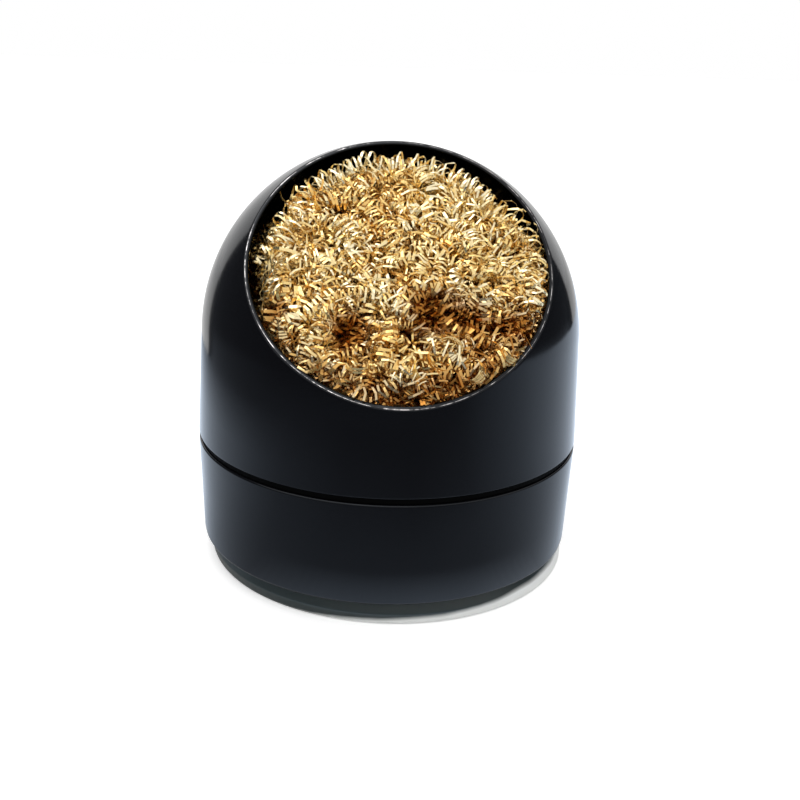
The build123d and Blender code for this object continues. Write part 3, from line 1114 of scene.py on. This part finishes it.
# ---------------- operators
class CoverOperator(Operator):
    """Build the domed cover"""

    bl_idname = "mesh.cleaner_cover"
    bl_label = "Domed Cover"

    def execute(self, context):
        cover = context.scene.cleaner_cover
        build_cover_shell(cover, enamel_material(cover.enamel, make_dust_group()))
        return {"FINISHED"}


class CupOperator(Operator):
    """Build the cup, and finish the seal, the ballast disc and its screws"""

    bl_idname = "mesh.cleaner_cup"
    bl_label = "Weighted Cup"

    def execute(self, context):
        scene = context.scene
        build_cup(scene.cleaner_cover, scene.cleaner_cup, bpy.data.materials["black_enamel"])
        grain = make_grain_group()
        finishes = {
            "seal_ring": rubber_material(grain),
            "ballast_disc": steel_material("ballast_steel", (0.55, 0.55, 0.54), 0.35, grain),
            "ballast_screws": steel_material("screw_plating", (0.62, 0.62, 0.6), 0.2, grain),
        }
        for node, material in finishes.items():
            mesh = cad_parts[node].data
            mesh.materials.clear()
            mesh.materials.append(material)
        return {"FINISHED"}


class FootOperator(Operator):
    """Build the silicone foot pad"""

    bl_idname = "mesh.cleaner_foot"
    bl_label = "Foot Pad"

    def execute(self, context):
        foot = context.scene.cleaner_foot
        grain = bpy.data.node_groups["fine_grain"]
        build_foot(foot, silicone_material(foot.silicone, foot.shade, grain))
        return {"FINISHED"}


class WoolOperator(Operator):
    """Tangle the brass wool"""

    bl_idname = "mesh.cleaner_wool"
    bl_label = "Brass Wool"

    def execute(self, context):
        scene = context.scene
        cover, cup, wool = scene.cleaner_cover, scene.cleaner_cup, scene.cleaner_wool
        grain = bpy.data.node_groups["fine_grain"]
        mouth = Mouth(cover)
        form = wad_form(cover, mouth)
        build_core(cover, wool, mouth, form, core_material(wool.shade, grain))
        brass = brass_material(wool.brass, wool.shade, grain)
        build_front_wool(Tangle(cover, cup, wool, mouth, form, wool.seed), form, brass)
        build_hidden_wool(Tangle(cover, cup, wool, mouth, form, wool.seed + 1), form, brass)
        form.free()
        return {"FINISHED"}


class StageOperator(Operator):
    """Set up the floor, the lights and the camera"""

    bl_idname = "scene.cleaner_stage"
    bl_label = "Stage"

    def execute(self, context):
        studio = context.scene.cleaner_studio
        build_floor(studio)
        build_screen(studio)
        build_camera(studio)
        build_world()
        build_softbox()
        context.scene.view_settings.view_transform = "Standard"
        return {"FINISHED"}


class CleanerPanel(Panel):
    """Tip cleaner tools"""

    bl_idname = "VIEW3D_PT_tip_cleaner"
    bl_label = "Tip Cleaner"
    bl_space_type = "VIEW_3D"
    bl_region_type = "UI"
    bl_category = "Tip Cleaner"

    def draw(self, context):
        for operator in OPERATORS:
            self.layout.operator(operator.bl_idname)
        for name, settings in SETTINGS.items():
            box = self.layout.box()
            box.label(text=settings.__name__)
            for label in settings.__annotations__:
                box.prop(getattr(context.scene, name), label)


OPERATORS = (CoverOperator, CupOperator, FootOperator, WoolOperator, StageOperator)
SETTINGS = {
    "cleaner_cover": CoverSettings,
    "cleaner_cup": CupSettings,
    "cleaner_foot": FootSettings,
    "cleaner_wool": WoolSettings,
    "cleaner_studio": StudioSettings,
}


def register():
    for item in (*SETTINGS.values(), *OPERATORS, CleanerPanel):
        bpy.utils.register_class(item)
    for name, settings in SETTINGS.items():
        setattr(bpy.types.Scene, name, PointerProperty(type=settings))


def unregister():
    for name in SETTINGS:
        delattr(bpy.types.Scene, name)
    for item in reversed((*SETTINGS.values(), *OPERATORS, CleanerPanel)):
        bpy.utils.unregister_class(item)


def main():
    register()
    bpy.ops.mesh.cleaner_cover()
    bpy.ops.mesh.cleaner_cup()
    bpy.ops.mesh.cleaner_foot()
    bpy.ops.mesh.cleaner_wool()
    bpy.ops.scene.cleaner_stage()


if __name__ == "__main__":
    main()
